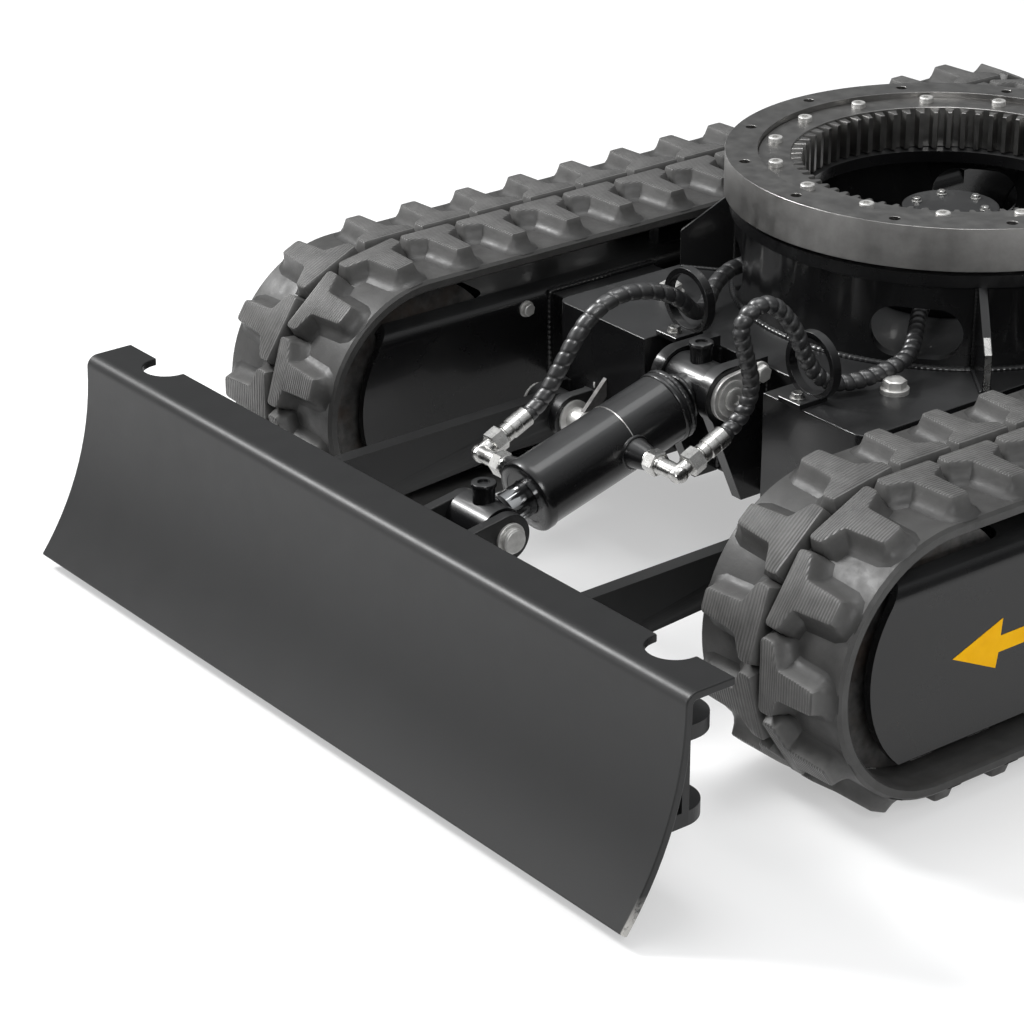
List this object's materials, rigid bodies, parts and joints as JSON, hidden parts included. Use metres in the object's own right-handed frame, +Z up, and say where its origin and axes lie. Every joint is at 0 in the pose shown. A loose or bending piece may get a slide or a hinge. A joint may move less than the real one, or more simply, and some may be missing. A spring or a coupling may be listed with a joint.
{
  "type": "mini excavator undercarriage with dozer blade",
  "caption": "Tracked undercarriage of a mini excavator with rubber tracks, slew ring on top, and a dozer blade raised and lowered by a hydraulic cylinder.",
  "frame": {"origin": "on the ground, in the middle of the length and the width", "axes": "+Y towards the sprockets, so the blade is at -Y; +X to the operator's left; +Z up"},
  "size_m": [0.93, 1.4178, 0.4],
  "materials": {
    "track_rubber": "matt, greyed by wear",
    "hose_rubber": "matt",
    "rod_chrome": "polished",
    "zinc_steel": "zinc plated",
    "ring_steel": "machined, oiled",
    "worn_iron": "worn black",
    "blade_paint": "satin charcoal",
    "frame_paint": "gloss black"
  },
  "bodies": {
    "undercarriage": {"arm_ears_left": "frame_paint", "arm_ears_right": "frame_paint", "arm_pin_left": "zinc_steel", "arm_pin_right": "zinc_steel", "centre_frame": "frame_paint", "cylinder_bracket": "frame_paint", "frame_legs_left": "frame_paint", "frame_legs_right": "frame_paint", "frame_pin": "zinc_steel", "hose_guide_left": "frame_paint", "hose_guide_right": "frame_paint", "hose_left": "hose_rubber", "hose_right": "hose_rubber", "idler_left": "worn_iron", "idler_right": "worn_iron", "idler_yoke_left": "frame_paint", "idler_yoke_right": "frame_paint", "pedestal": "frame_paint", "slew_ring_inner": "ring_steel", "sprocket_left": "worn_iron", "sprocket_right": "worn_iron", "swivel_joint": "frame_paint", "tension_spring_left": "worn_iron", "tension_spring_right": "worn_iron", "track_frame_left": "frame_paint", "track_frame_right": "frame_paint", "track_left": "track_rubber", "track_right": "track_rubber", "track_rollers_left": "worn_iron", "track_rollers_right": "worn_iron", "travel_motor_body_left": "frame_paint", "travel_motor_body_right": "frame_paint", "travel_motor_left": "frame_paint", "travel_motor_right": "frame_paint"},
    "blade": {"moldboard": "blade_paint", "blade_stiffener": "blade_paint", "push_arm_left": "blade_paint", "push_arm_right": "blade_paint", "blade_clevis": "blade_paint", "blade_pin": "zinc_steel"},
    "barrel": {"cylinder_barrel": "frame_paint", "cylinder_gland": "frame_paint", "cylinder_fittings": "zinc_steel"},
    "rod": {"cylinder_rod": "rod_chrome"},
    "slew": {"slew_ring_outer": "ring_steel"}
  },
  "joints": [
    {"name": "blade_lift", "type": "hinge", "parent": "undercarriage", "child": "blade", "pos_m": [0, -0.24995, 0.146], "axis": [-1, 0, 0], "range_deg": [-18, 16]},
    {"name": "cylinder_tilt", "type": "hinge", "parent": "undercarriage", "child": "barrel", "pos_m": [0, -0.22495, 0.231], "axis": [-1, 0, 0], "range_deg": [-15.12, 13.46], "deforming": ["hose_left", "hose_right"]},
    {"name": "rod_slide", "type": "slide", "parent": "barrel", "child": "rod", "axis": [0, -0.963, -0.2695], "range_m": [-0.02116, 0.02375]},
    {"name": "slew_turn", "type": "hinge", "parent": "undercarriage", "child": "slew", "pos_m": [0, 0.11005, 0.378], "axis": [0, 0, 1], "continuous": true}
  ],
  "couplings": [
    {"joint": "cylinder_tilt", "follows": "blade_lift", "ratio": 0.829},
    {"joint": "rod_slide", "follows": "blade_lift", "m_per_rad": -0.074}
  ]
}
